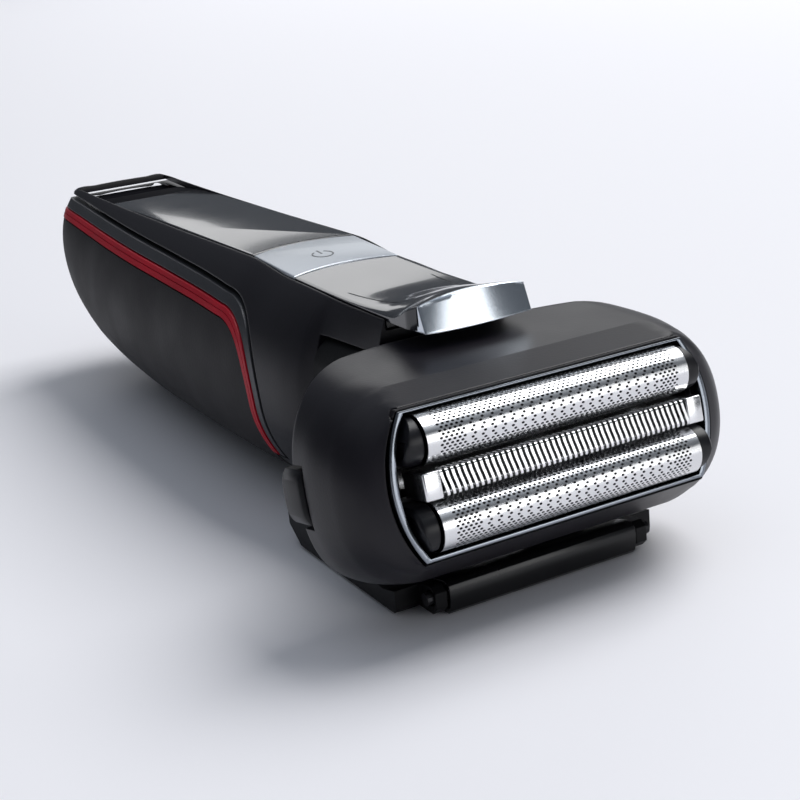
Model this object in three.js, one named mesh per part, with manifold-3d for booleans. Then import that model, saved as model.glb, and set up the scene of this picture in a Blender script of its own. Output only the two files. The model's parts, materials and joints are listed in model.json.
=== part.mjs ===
// Foil shaver lying on its back: three-blade head, linear drive, hollow handle and pop-up trimmer.
// Units are millimetres. +X runs along the foils, +Y from the foils to the charging end and +Z up,
// towards the side with the power button. The origin is under the middle of the object, on its floor.
import * as THREE from 'three';
import { mergeVertices } from 'three/addons/utils/BufferGeometryUtils.js';
import Module from 'manifold-3d';

const wasm = await Module();
wasm.setup();

// ---------------------------------------------------------------- driving dimensions
const GAP = 0.3;                       // clearance between neighbouring pieces
const AXIS_HEIGHT = 20;                // design height 0 lies this far above the floor
const LENGTH_MIDDLE = 83.54;           // design y at the middle of the overall length
const HEAD_TILT = 0.206;               // head leans forward of the handle's axis, radians
const HEAD_ORIGIN = [0, 0.3, 2.5];     // crest of the middle cutter
const PIVOT = { y: 31, z: 0, pin: 1.5, ball: 9.5, ballHalfX: 10.6 };

const FOIL = { length: 40.5, radius: 3.35, skin: 0.35, leg: 6.6, pitch: 5.6, float: 1.2 };
const SLIT = { length: 43.4, width: 3.6, crest: 0.3, leg: 6, skin: 0.35, block: 2.5 };
const CUTTER = { halfLength: 18.6, radius: 2.9, base: 6, fins: 19 };
const DECK = { front: 12.2, thick: 1.6, halfX: 22, halfV: 9.3 };
const STROKE = 1.2;                    // half stroke of the drive
const SPRING = { top: 7.7, foot: 11.8, turns: 3 };   // drawn at its pressed length
const PIN = { halfX: 0.8, halfV: 0.7, tip: 5.4 };

const RIM = { depth: 3.3, halfWidth: 24.9, halfHeight: 9.9, arc: 18.3 };
const OPENING = { halfWidth: 23.9, halfHeight: 9.3, arc: 18.3 };
const HEAD_WALL = 1.7;
const REAR_RIM = { curve: [[12, 24.6], [18, 23.6], [24, 21.4], [28, 19.4], [34, 17.4]],
  middle: 21.5, lean: 0.2 };

const HANDLE_END = 168;
const SHELL_WALL = 4;
const GRIP_SKIN = 2;
const STRIPE = { half: 0.8, rim: 2.6, groove: 3.4, proud: 0.15, low: -12 };
const CHANNEL = { halfWidth: 9.6, floor: 15.5 };
const BUTTON = { front: 60.2, back: 75.2, bulge: 2.2, travel: 0.8, thick: 1.3, stem: 68 };
const KEY_SLOPE = { front: 16.4, back: 17.6, endY: 77.8 };   // top of the button at its two ends
// The thumb rest's rows are: along the handle, half width, height at the edge, height in the middle.
const PLATE = { seat: 30.5, low: 14.2, rows: [[22.9, 8.6, 18.5, 19.5], [24.5, 9.3, 17.95, 19.35],
  [26.5, 9.3, 16.9, 19.05], [28.6, 9.3, 16.2, 18.6], [31, 9.3, 16.05, 17.9], [34, 9.3, 16, 17.05],
  [38, 9.3, 16, 16.4], [44, 9.3, 16, 16.1], [62.5, 9.3, 16.4, 16.4]] };
const NOSE = { halfX: 8.6, front: 20, back: 22.6, low: 15, brow: 18.75, crown: 19.8 };
const TRIM_AXIS = { y: 9.7, z: -17.1, pin: 0.9 };
const TRIM = { halfX: 15.3, cheek: 17.4, shoulder: 21.2, nub: 18.3, bottom: -19.8, end: 36 };

// ---------------------------------------------------------------- colours and finishes
const finish = (color, roughness, metalness) => ({ color, roughness, metalness });
const BLACK_SATIN = finish(0x17151a, 0.42, 0);
const BLACK_GLOSS = finish(0x20242a, 0.12, 0);
const DARK_PLASTIC = finish(0x0d0d0f, 0.55, 0);
const RUBBER = finish(0x35302f, 0.8, 0);
const STEEL = finish(0xb9bcc0, 0.28, 1);
const SILVER = finish(0xc6cad0, 0.25, 1);
const CHROME = finish(0x9aa7b4, 0.08, 1);
const RED_METAL = finish(0xa3232c, 0.3, 0.7);
const COPPER = finish(0xb0683a, 0.35, 1);
const BOARD = finish(0x1d5a35, 0.6, 0);
const CELL = finish(0x3a5f94, 0.5, 0);

// ---------------------------------------------------------------- solids
function solid(geometry) {
  const bare = geometry.clone();
  bare.deleteAttribute('normal');
  bare.deleteAttribute('uv');
  const merged = mergeVertices(bare, 1e-5);
  return new wasm.Manifold(new wasm.Mesh({
    numProp: 3,
    vertProperties: new Float32Array(merged.attributes.position.array),
    triVerts: new Uint32Array(merged.index.array),
  }));
}

function geometryOf(body) {
  const mesh = body.getMesh();
  const geometry = new THREE.BufferGeometry();
  geometry.setAttribute('position', new THREE.BufferAttribute(new Float32Array(mesh.vertProperties), 3));
  geometry.setIndex(new THREE.BufferAttribute(new Uint32Array(mesh.triVerts), 1));
  geometry.computeVertexNormals();
  return geometry;
}

function join(...bodies) {
  return bodies.reduce((whole, next) => whole.add(next));
}

// A box between two corners.
function block(low, high) {
  const size = high.map((value, i) => value - low[i]);
  const geometry = new THREE.BoxGeometry(...size);
  geometry.translate(...low.map((value, i) => value + size[i] / 2));
  return solid(geometry);
}

// A round bar along x, y or z, given its middle, radius and length.
function rod(axis, middle, radius, length, sides = 16) {
  const geometry = new THREE.CylinderGeometry(radius, radius, length, sides);
  if (axis === 'x') geometry.rotateZ(Math.PI / 2);
  if (axis === 'z') geometry.rotateX(Math.PI / 2);
  geometry.translate(...middle);
  return solid(geometry);
}

// An outline of [a, b] pairs swept along x, y or z. Across x the pairs are (y, z), across y (x, z)
// and across z (x, y).
function prism(axis, outline, from, to) {
  const shape = new THREE.Shape(outline.map(([a, b]) => new THREE.Vector2(a, b)));
  const geometry = new THREE.ExtrudeGeometry(shape, { depth: to - from, bevelEnabled: false });
  geometry.translate(0, 0, from);
  if (axis === 'x') {
    geometry.rotateY(Math.PI / 2);
    geometry.rotateX(Math.PI / 2);
  }
  if (axis === 'y') {
    geometry.rotateX(Math.PI / 2);
    geometry.translate(0, from + to, 0);
  }
  return solid(geometry);
}

// A rectangle with round corners, symmetric about the second axis.
function roundedOutline(half, low, high, radius, steps = 4) {
  const corners = [[half - radius, low + radius, -90], [half - radius, high - radius, 0],
    [radius - half, high - radius, 90], [radius - half, low + radius, 180]];
  return corners.flatMap(([a, b, start]) => Array.from({ length: steps + 1 }, (_, i) => {
    const angle = ((start + (90 * i) / steps) * Math.PI) / 180;
    return [a + radius * Math.cos(angle), b + radius * Math.sin(angle)];
  }));
}

// A closed skin through rings that all have the same number of points.
function loft(rings) {
  const count = rings[0].length;
  const positions = rings.flat().flatMap((p) => [p.x, p.y, p.z]);
  const triangles = [];
  for (let r = 0; r + 1 < rings.length; r += 1) {
    for (let i = 0; i < count; i += 1) {
      const a = r * count + i;
      const b = r * count + ((i + 1) % count);
      triangles.push(a, b, b + count, a, b + count, a + count);
    }
  }
  const last = (rings.length - 1) * count;
  const hubs = [rings[0], rings[rings.length - 1]].map((ring, end) => {
    const middle = ring.reduce((sum, p) => sum.add(p), new THREE.Vector3()).divideScalar(count);
    positions.push(middle.x, middle.y, middle.z);
    return rings.length * count + end;
  });
  for (let i = 0; i < count; i += 1) {
    const next = (i + 1) % count;
    triangles.push(hubs[0], next, i);
    triangles.push(hubs[1], last + i, last + next);
  }
  const geometry = new THREE.BufferGeometry();
  geometry.setAttribute('position', new THREE.Float32BufferAttribute(positions, 3));
  geometry.setIndex(triangles);
  const body = solid(geometry);
  if (body.volume() > 0) return body;
  geometry.setIndex(triangles.reverse());
  return solid(geometry);
}

// A coil spring with its axis along y.
function coil(radius, wire, from, to, turns) {
  class Helix extends THREE.Curve {
    getPoint(t, target = new THREE.Vector3()) {
      const angle = t * turns * 2 * Math.PI;
      return target.set(radius * Math.cos(angle), from + t * (to - from), radius * Math.sin(angle));
    }
  }
  const section = new THREE.Shape();
  section.absarc(0, 0, wire / 2, 0, 2 * Math.PI);
  return solid(new THREE.ExtrudeGeometry(section, {
    steps: Math.round(turns * 10), curveSegments: 3, extrudePath: new Helix(),
  }));
}

// ---------------------------------------------------------------- scene helpers
const shaver = new THREE.Group();
shaver.position.set(0, -LENGTH_MIDDLE, AXIS_HEIGHT);
const head = new THREE.Group();
head.position.set(...HEAD_ORIGIN);
head.rotation.x = -HEAD_TILT;
shaver.add(head);

function place(group, name, body, look, x = 0, y = 0, z = 0) {
  const mesh = new THREE.Mesh(geometryOf(body), new THREE.MeshStandardMaterial(look));
  mesh.name = name;
  mesh.position.set(x, y, z);
  group.add(mesh);
  return mesh;
}

const mirrored = (body) => body.mirror([1, 0, 0]);

// The head's own (depth, height) of a point that is given in handle coordinates.
function toHead(y, z) {
  const dy = y - HEAD_ORIGIN[1];
  const dz = z - HEAD_ORIGIN[2];
  const c = Math.cos(HEAD_TILT);
  const s = Math.sin(HEAD_TILT);
  return [dy * c - dz * s, dy * s + dz * c];
}

// ---------------------------------------------------------------- head outline
// A long outline with straight top and bottom edges and bulging ends. The ends are parts of an
// ellipse, squared off by an exponent over 2.
function longOutline(halfWidth, top, bottom, arcX, arcV, exponent = 2, steps = 12) {
  const middle = (top + bottom) / 2;
  const half = (top - bottom) / 2;
  const power = 2 / exponent;
  const limit = Math.asin(Math.min(1, half / arcV) ** (1 / power));
  const right = [];
  for (let i = 0; i <= steps; i += 1) {
    const angle = -limit + (2 * limit * i) / steps;
    const rise = Math.sign(angle) * Math.abs(Math.sin(angle)) ** power;
    right.push([halfWidth - arcX + arcX * Math.cos(angle) ** power, middle + arcV * rise]);
  }
  const left = right.map(([x, v]) => [-x, v]).reverse();
  return [...right, ...left];
}

// Depth, half width, top, bottom, end ellipse and exponent of each section of the head.
const HEAD_SECTIONS = [
  [3.3, 24.9, 9.6, -10.2, 18.3, 18.3, 2],
  [4.2, 27.2, 10.1, -10.9, 14.0, 12.4, 2.1],
  [6.0, 29.0, 11.0, -12.1, 11.0, 11.8, 2.25],
  [9.3, 30.4, 12.2, -13.6, 12.4, 13.0, 2.4],
  [15.0, 31.2, 13.6, -14.3, 12.6, 14.0, 2.5],
  [26.0, 31.3, 16.3, -14.8, 14.6, 15.6, 2.4],
];

function headLoft(inset, sections) {
  return loft(sections.map(([depth, halfWidth, top, bottom, arcX, arcV, exponent]) => longOutline(
    halfWidth - inset, top - inset, bottom + inset, arcX - inset, arcV - inset, exponent,
  ).map(([x, v]) => new THREE.Vector3(x, depth, v))));
}

// Everything behind the rear rim of the head, moved back by a distance. The rim curves forward at
// both ends and leans forward towards the bottom.
function behindRim(distance) {
  const edge = REAR_RIM.curve.map(([x, depth]) => [x, depth + distance]);
  const left = edge.map(([x, depth]) => [-x, depth]).reverse();
  const curved = prism('z', [...left, ...edge, [60, 80], [-60, 80]], -60, 60);
  const low = REAR_RIM.middle - 60 * REAR_RIM.lean + distance;
  const high = REAR_RIM.middle + 60 * REAR_RIM.lean + distance;
  return curved.add(prism('x', [[low, -60], [80, -60], [80, 60], [high, 60]], -60, 60));
}

// The opening for the foils, smaller all round by an inset.
function openingPrism(inset) {
  return prism('y', longOutline(OPENING.halfWidth - inset, OPENING.halfHeight - inset,
    -OPENING.halfHeight - 0.1 + inset, OPENING.arc, OPENING.arc), -5, 9.4);
}

// ---------------------------------------------------------------- head: frame and its trims
const RELEASE = { front: 15.4, back: 24, low: -4.2, high: 3.8, outer: 31.9, inner: 27.6 };

function releaseNotch(grow) {
  return block(
    [RELEASE.inner - 4, RELEASE.front - grow, RELEASE.low - grow],
    [40, RELEASE.back + 6, RELEASE.high + grow],
  );
}

function addFrame() {
  const outer = headLoft(0, HEAD_SECTIONS);
  const inner = headLoft(HEAD_WALL, [[5.2, ...HEAD_SECTIONS[2].slice(1)], ...HEAD_SECTIONS.slice(3, 5),
    [30, ...HEAD_SECTIONS[5].slice(1)]]);
  const seat = prism('y', longOutline(RIM.halfWidth - 0.1 + GAP, RIM.halfHeight - 0.3 + GAP,
    -RIM.halfHeight - GAP, RIM.arc, RIM.arc), -5, 5.3);
  const notch = releaseNotch(GAP);
  const frame = outer.subtract(inner).subtract(behindRim(0)).subtract(seat)
    .subtract(openingPrism(0)).subtract(notch).subtract(mirrored(notch));
  place(head, 'head_frame', frame, BLACK_SATIN);

  const trimOuter = prism('y', longOutline(RIM.halfWidth - 0.1, RIM.halfHeight - 0.3,
    -RIM.halfHeight, RIM.arc, RIM.arc), 2.9, 5.0);
  place(head, 'frame_bezel', trimOuter.subtract(openingPrism(0)), SILVER);

  const cassette = headLoft(HEAD_WALL + GAP, HEAD_SECTIONS)
    .intersect(block([-40, 9.8, -40], [40, 11.2, 40]))
    .subtract(block([-20.4, 0, -9.3], [20.4, 30, 9.3]));
  place(head, 'foil_cassette', cassette, DARK_PLASTIC);
}

// ---------------------------------------------------------------- head: foils and cutters
// Half-round arch with straight legs, as (height, depth) pairs swept along x.
function archOutline(radius, crest, leg, steps = 12) {
  const points = [[leg, -radius]];
  for (let i = 0; i <= steps; i += 1) {
    const angle = (Math.PI * i) / steps;
    points.push([crest + radius - radius * Math.sin(angle), -radius * Math.cos(angle)]);
  }
  points.push([leg, radius]);
  return points;
}

function foilSkin() {
  const half = FOIL.length / 2;
  const outer = prism('x', archOutline(FOIL.radius, 0, FOIL.leg), -half, half);
  const hollow = archOutline(FOIL.radius - FOIL.skin, FOIL.skin, FOIL.leg + 1);
  const inner = prism('x', hollow, -half - 1, half + 1);
  return outer.subtract(inner);
}

// End caps of a foil and the two thin rails that join them under the foil's edges.
function foilHolder() {
  const start = FOIL.length / 2 + GAP;
  const end = 22.9;
  const cap = prism('x', archOutline(3.1, 0.6, 8.2, 8), start, end);
  const rail = block([-end, 6.9, 3.0], [end, 8.2, 3.6]);
  return join(cap, mirrored(cap), rail, rail.mirror([0, 0, 1]));
}

// Hole that takes a drive pin, open underneath, with room for the cutter to be pressed in.
function pinSocket(top) {
  return block([-PIN.halfX - GAP, top, -PIN.halfV - GAP], [PIN.halfX + GAP, 9, PIN.halfV + GAP]);
}

// Row of arched blades on a bar, with a socket for the drive pin underneath.
function arcCutter() {
  const bar = block([-CUTTER.halfLength, 3.4, -1.9], [CUTTER.halfLength, CUTTER.base, 1.9]);
  const pitch = (2 * CUTTER.halfLength) / (CUTTER.fins - 0.5);
  const outline = archOutline(CUTTER.radius, 0.45, 4.8, 8);
  let body = bar;
  for (let i = 0; i < CUTTER.fins; i += 1) {
    const from = -CUTTER.halfLength + i * pitch;
    body = body.add(prism('x', outline, from, from + pitch / 2));
  }
  return body.subtract(pinSocket(PIN.tip - FOIL.float - GAP));
}

function addCutting() {
  const rows = [['front', FOIL.pitch], ['rear', -FOIL.pitch]];
  for (const [side, v] of rows) {
    place(head, `foil_${side}`, foilSkin(), STEEL, 0, 0, v);
    const holder = foilHolder().translate([0, 0, v]).intersect(openingPrism(0.4));
    place(head, `foil_holder_${side}`, holder, DARK_PLASTIC);
    place(head, `inner_cutter_${side}`, arcCutter(), STEEL, 0, 0, v);
    const spring = coil(1.9, 0.4, SPRING.top, SPRING.foot, SPRING.turns);
    place(head, `cutter_spring_${side}`, spring, STEEL, 0, 0, v);
  }
  const half = SLIT.length / 2;
  const side = SLIT.width / 2;
  const channel = block([-half + SLIT.block, SLIT.crest + SLIT.skin, -side + SLIT.skin],
    [half - SLIT.block, 9, side - SLIT.skin]);
  const comb = block([-half, SLIT.crest, -side], [half, SLIT.leg, side]).subtract(channel);
  place(head, 'slit_comb', comb, STEEL);

  const blade = block([-17.4, 1.1, -1.15], [17.4, 5.4, 1.15])
    .subtract(pinSocket(PIN.tip - FOIL.float - GAP));
  place(head, 'slit_blade', blade, STEEL);
  place(head, 'cutter_spring_middle', coil(1.4, 0.3, SPRING.top, SPRING.foot, SPRING.turns), STEEL);
}

// ---------------------------------------------------------------- head: linear drive
function drivePin(v) {
  return block([-PIN.halfX, PIN.tip, v - PIN.halfV], [PIN.halfX, 15.2, v + PIN.halfV]);
}

function addDrive() {
  const outer = block([-16, 14.6, -7.4], [16, 16.8, 7.4]).subtract(block([-13, 14, -3.4], [18, 18, 3.4]));
  const mainMover = join(outer, drivePin(FOIL.pitch), drivePin(-FOIL.pitch));
  place(head, 'drive_carriage_outer', mainMover, SILVER);
  const middle = join(block([-10.4, 14.6, -2.6], [15, 16.8, 2.6]), drivePin(0));
  place(head, 'drive_carriage_middle', middle, SILVER);

  const slot = (v) => block([-PIN.halfX - STROKE - GAP, 0, v - PIN.halfV - GAP],
    [PIN.halfX + STROKE + GAP, 20, v + PIN.halfV + GAP]);
  const screwX = 19;
  let deck = block([-DECK.halfX, DECK.front, -DECK.halfV],
    [DECK.halfX, DECK.front + DECK.thick, DECK.halfV]);
  for (const v of [-FOIL.pitch, 0, FOIL.pitch]) {
    deck = deck.subtract(slot(v));
  }
  for (const x of [-screwX, screwX]) {
    deck = deck.subtract(rod('y', [x, DECK.front, 0], 1 + GAP, 6, 12));
  }
  place(head, 'drive_deck', deck, DARK_PLASTIC);
  for (const [side, x] of [['left', -screwX], ['right', screwX]]) {
    place(head, `deck_screw_${side}`, join(rod('y', [x, 11.8, 0], 1.7, 0.6, 12),
      rod('y', [x, 13.5, 0], 1, 3.2, 12)), STEEL);
  }

  const core = join(
    block([-12, 19.4, -4], [12, 21.4, 4]),
    ...[-11, -1.5, 8].map((x) => block([x, 17.3, -4], [x + 3, 19.6, 4])),
  );
  place(head, 'stator_core', core, SILVER);
  const winding = block([-6.6, 17.4, -6.8], [6.6, 19.1, 6.8])
    .subtract(block([-1.5 - GAP, 17, -4 - GAP], [1.5 + GAP, 20, 4 + GAP]));
  place(head, 'stator_coil', winding, COPPER);
  for (const [side, x] of [['left', -17.4], ['right', 17.0]]) {
    place(head, `flexure_${side}`, block([x - 0.2, 17.2, -6], [x + 0.2, 21.2, 6]), STEEL);
  }
}

// ---------------------------------------------------------------- head: base and release buttons
function addBase() {
  const [pivotDepth, pivotHeight] = toHead(PIVOT.y, PIVOT.z);
  const sections = [[12, ...HEAD_SECTIONS[3].slice(1)], [15, ...HEAD_SECTIONS[4].slice(1)],
    [30, ...HEAD_SECTIONS[5].slice(1)]];
  const plug = headLoft(HEAD_WALL + 0.5, sections).subtract(behindRim(1.2));
  const deckPocket = block([-DECK.halfX - GAP, 0, -DECK.halfV - GAP],
    [DECK.halfX + GAP, DECK.front + DECK.thick + GAP, DECK.halfV + GAP]);
  const motorPocket = block([-19.6, 10, -8.4], [19.6, 21.9, 8.4]);
  const ball = rod('x', [0, pivotDepth, pivotHeight], PIVOT.ball, 2 * PIVOT.ballHalfX, 24);
  const bore = rod('x', [0, pivotDepth, pivotHeight], PIVOT.pin + GAP, 30);
  const pocket = releaseNotch(GAP).subtract(block([0, 0, -60], [RELEASE.inner - 2.4, 60, 60]));
  const stemHole = rod('x', [24, 17.9, -0.2], 1.5 + GAP, 8, 12);
  const screwHole = rod('y', [19, 14.4, 0], 1 + GAP, 4, 12);
  const base = join(plug, ball).subtract(deckPocket).subtract(motorPocket)
    .subtract(bore).subtract(pocket).subtract(mirrored(pocket))
    .subtract(stemHole).subtract(mirrored(stemHole))
    .subtract(screwHole).subtract(mirrored(screwHole));
  place(head, 'head_base', base, DARK_PLASTIC);

  const pad = block([RELEASE.inner, RELEASE.front + GAP, RELEASE.low + GAP],
    [RELEASE.outer, 21.2, RELEASE.high - GAP]);
  const stem = rod('x', [25.6, 17.9, -0.2], 1.2, 5, 12);
  const button = pad.add(stem);
  place(head, 'release_button_right', button, BLACK_SATIN);
  place(head, 'release_button_left', mirrored(button), BLACK_SATIN);
}

// ---------------------------------------------------------------- handle outline
// Distance along the handle, half width, top and bottom of each section.
const HANDLE_SECTIONS = [
  [46, 14.2, 16.0, -15.0],
  [48.5, 16.2, 16.1, -17.0],
  [54, 17.6, 16.3, -18.7],
  [62, 18.4, 16.5, -19.6],
  [75, 19.0, 17.7, -20.1],
  [92, 19.2, 17.6, -20.2],
  [110, 19.1, 17.5, -20.1],
  [128, 18.6, 17.5, -19.2],
  [143, 17.8, 17.6, -17.2],
  [154, 16.9, 17.7, -13.6],
  [161, 15.9, 17.8, -9.0],
  [165.5, 14.6, 17.7, -4.2],
  [HANDLE_END, 12.6, 17.2, 0.0],
];

// Half of a cross-section. Above the rail, the first number is the share of the way from the rail out
// to the widest point; below the widest point it is a share of the half width. The second number is
// the share of the height above or below the middle.
const RAIL = 9.5;
const SHOULDER_SHAPE = [[0, 0.985], [0.21, 0.91], [0.45, 0.79], [0.74, 0.575], [0.92, 0.32], [1, 0]];
const BELLY_SHAPE = [
  [0.975, -0.27], [0.9, -0.47], [0.8, -0.63], [0.63, -0.79], [0.4, -0.93], [0.16, -1],
];
const MIDDLE_Z = 0.3;

function handleRing(y, halfWidth, top, bottom, inset) {
  const middle = Math.max(MIDDLE_Z, (top + bottom) / 2);
  const outer = halfWidth - inset;
  const rail = Math.min(RAIL, 0.8 * outer);
  const over = top - inset - middle;
  const under = middle - bottom - inset;
  const right = [
    new THREE.Vector3(0.6 * rail, y, middle + over),
    ...SHOULDER_SHAPE.map(([a, b]) => new THREE.Vector3(rail + a * (outer - rail), y, middle + b * over)),
    ...BELLY_SHAPE.map(([a, b]) => new THREE.Vector3(a * outer, y, middle + b * under)),
  ];
  const left = right.map((p) => new THREE.Vector3(-p.x, p.y, p.z)).reverse();
  return [...right, ...left];
}

function handleLoft(inset, sections = HANDLE_SECTIONS) {
  return loft(sections.map((row) => handleRing(...row, inset)));
}

// Side view of everything under the centre line of the stripe: straight front edge, round corner,
// then along under the shoulder.
const STRIPE_LINE = { front: 61.6, corner: 13, top: 10, rise: [[86, 10.6], [100, 11], [125, 11.6],
  [145, 12.3], [157, 12.9], [168, 13.3], [190, 13.6]] };

function gripRegion(grow) {
  const { front, corner, top, rise } = STRIPE_LINE;
  const radius = corner + grow;
  const points = [[front - grow, -40]];
  for (let i = 0; i <= 6; i += 1) {
    const angle = Math.PI - (Math.PI / 2) * (i / 6);
    points.push([front + corner + radius * Math.cos(angle), top - corner + radius * Math.sin(angle)]);
  }
  points.push(...rise.map(([y, z]) => [y, z + grow]), [190, -40]);
  return prism('x', points, -40, 40);
}

// Cowl over the neck that carries the thumb rest, as the same rows as the handle.
const COWL_SECTIONS = [[30.4, 12, 15.9, -15], [38, 13, 15.9, -15], [46, 14.2, 16, -15],
  [48.5, 16.2, 16.1, -17]];
const COWL_LOW = 10.8;

// ---------------------------------------------------------------- handle: shells, grip and stripes
const SOCKET = { halfX: 6.2, low: 3.0, high: 11.4, front: 156 };

function addShells() {
  const flatBelly = block([-60, -20, -60], [60, 220, -AXIS_HEIGHT]);
  const outer = handleLoft(0).subtract(flatBelly);
  const cavity = handleLoft(SHELL_WALL, [[40, ...HANDLE_SECTIONS[1].slice(1)],
    ...[2, 4, 6, 8, 9].map((i) => HANDLE_SECTIONS[i]), [159, 13.4, 17.6, -10]]);
  const socketHole = block([-SOCKET.halfX - GAP, 150, SOCKET.low - GAP],
    [SOCKET.halfX + GAP, 180, SOCKET.high + GAP]);
  const channel = block([-CHANNEL.halfWidth, 59.7, CHANNEL.floor], [CHANNEL.halfWidth, 161.5, 40]);
  const thumbSeat = block([-CHANNEL.halfWidth, 20, 13.9], [CHANNEL.halfWidth, 59.9, 40]);
  // The hollow behind the panel is closed by a rim at the end of the handle.
  const scoopSide = [[140, 15.6], [156, 15.0], [161, 14.2], [163.4, 15.2], [164.8, 17.0], [165, 40],
    [140, 40]];
  const scoop = prism('x', scoopSide, -CHANNEL.halfWidth, CHANNEL.halfWidth);
  const drop = BUTTON.thick + BUTTON.travel + GAP;
  const keySeat = prism('x', [[59.7, KEY_SLOPE.front - drop], [KEY_SLOPE.endY, KEY_SLOPE.back - drop],
    [KEY_SLOPE.endY, 40], [59.7, 40]], -CHANNEL.halfWidth, CHANNEL.halfWidth);
  const stemHole = rod('z', [0, BUTTON.stem, 14], 1.5 + GAP, 6, 12);
  const sliderSlot = block([-4.4, 47, -30], [4.4, 60.4, -17.3]);
  const sliderHole = block([-1.9, 49.8, -30], [1.9, 58.8, -10]);
  const cowl = handleLoft(0, COWL_SECTIONS).intersect(block([-40, 20, COWL_LOW], [40, 50, 40]));

  const cuts = [cavity, channel, thumbSeat, keySeat, scoop, stemHole, socketHole, sliderSlot, sliderHole];
  const wall = cuts.reduce((body, cut) => body.subtract(cut), join(outer, cowl));
  const lower = block([-60, 0, -60], [60, 80, STRIPE.low]);
  const band = gripRegion(STRIPE.groove).subtract(lower).add(gripRegion(0));
  place(shaver, 'main_shell', wall.subtract(band), BLACK_SATIN);

  const edge = -STRIPE.half - GAP;
  const aboveLow = block([-60, 0, STRIPE.low + GAP], [60, 220, 60]);
  const backing = gripRegion(STRIPE.groove - GAP).intersect(aboveLow).add(gripRegion(edge));
  const rear = handleLoft(GRIP_SKIN + GAP).subtract(cavity).intersect(backing)
    .subtract(channel).subtract(scoop).subtract(socketHole).subtract(flatBelly);
  place(shaver, 'rear_shell', rear, DARK_PLASTIC);
  const grip = outer.subtract(handleLoft(GRIP_SKIN)).intersect(gripRegion(edge)).subtract(socketHole);
  place(shaver, 'grip_cover', grip, RUBBER);

  const above = block([-60, 0, STRIPE.low + GAP], [60, HANDLE_END - 1, 60]);
  const strip = (proud, from, to) => handleLoft(-proud).subtract(handleLoft(GRIP_SKIN))
    .intersect(gripRegion(to).subtract(gripRegion(from))).intersect(above);
  const stripes = strip(STRIPE.proud, -STRIPE.half, STRIPE.half);
  const rims = strip(0, STRIPE.half + GAP, STRIPE.rim);
  const side = block([0, 0, -60], [60, 200, 60]);
  place(shaver, 'stripe_right', stripes.intersect(side), RED_METAL);
  place(shaver, 'stripe_left', stripes.intersect(mirrored(side)), RED_METAL);
  place(shaver, 'stripe_rim_right', rims.intersect(side), BLACK_GLOSS);
  place(shaver, 'stripe_rim_left', rims.intersect(mirrored(side)), BLACK_GLOSS);
}

// ---------------------------------------------------------------- handle: panel, button and nose
// A curved edge across the panel: middle at y, bulging towards the charging end.
function bulgedEdge(y, bulge, halfWidth, steps = 8) {
  const points = [];
  for (let i = 0; i <= steps; i += 1) {
    const x = halfWidth - (2 * halfWidth * i) / steps;
    points.push([x, y + bulge * (1 - (x / halfWidth) ** 2)]);
  }
  return points;
}

// A front view with a flat bottom and a top that rises from the brow at each side to a crown.
function crowned(halfWidth, low, brow, crown, steps = 6) {
  const top = Array.from({ length: steps + 1 }, (_, i) => {
    const x = halfWidth - (2 * halfWidth * i) / steps;
    return [x, brow + (crown - brow) * (1 - (x / halfWidth) ** 2)];
  });
  return [[-halfWidth, low], [halfWidth, low], ...top];
}

function addTop() {
  const half = CHANNEL.halfWidth - GAP;
  const edge = bulgedEdge(BUTTON.back + GAP, BUTTON.bulge, half);
  const panel = prism('z', [...edge, [-half, 158.6], [half, 158.6]], CHANNEL.floor + GAP - 3, 17.5)
    .intersect(prism('x', [[60, 15.8], [60, 17.5], [132, 17.3], [150, 16.6], [160, 15.6], [160, 15.2],
      [156, 15.3], [140, 15.9]], -20, 20));
  place(shaver, 'display_panel', panel, BLACK_GLOSS);

  const keyOutline = [...bulgedEdge(BUTTON.back, BUTTON.bulge, half).reverse(),
    ...bulgedEdge(BUTTON.front, BUTTON.bulge, half)];
  const keySide = [[59, KEY_SLOPE.front], [KEY_SLOPE.endY, KEY_SLOPE.back],
    [KEY_SLOPE.endY, KEY_SLOPE.back - BUTTON.thick], [59, KEY_SLOPE.front - BUTTON.thick]];
  const key = prism('z', keyOutline, 10, 20).intersect(prism('x', keySide, -20, 20))
    .add(rod('z', [0, BUTTON.stem, 14.5], 1.5, 4, 12));
  place(shaver, 'power_button', key, SILVER);

  // The plate is level over the neck. Its middle rises to the nose sooner than its two edges do.
  const rings = PLATE.rows.map(([y, halfWidth, brow, crown]) => crowned(halfWidth, PLATE.low, brow, crown)
    .map(([x, z]) => new THREE.Vector3(x, y, z)));
  const platePlan = [...bulgedEdge(BUTTON.front - GAP, BUTTON.bulge, half), [-half, 20], [half, 20]];
  const underNose = block([-20, 20, 10], [20, 26, 16.2]);
  const overNeck = block([-20, 20, 10], [20, PLATE.seat, 15.2]);
  const overKey = block([-20, 59.4, 10], [20, 70, 14.6]);
  const plate = loft(rings).intersect(prism('z', platePlan, 10, 30))
    .subtract(underNose).subtract(overNeck).subtract(overKey);
  place(shaver, 'thumb_rest', plate, BLACK_GLOSS);

  const noseSide = [[NOSE.front, NOSE.low], [25.5, NOSE.low], [25.5, 15.9], [22.3, 15.9], [NOSE.back, 19.7],
    [22.2, NOSE.crown], [21.6, NOSE.crown]];
  const nose = prism('y', crowned(NOSE.halfX, NOSE.low, NOSE.brow, NOSE.crown), 15, 30)
    .intersect(prism('x', noseSide, -20, 20));
  place(shaver, 'nose_trim', nose, CHROME);
}

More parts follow.
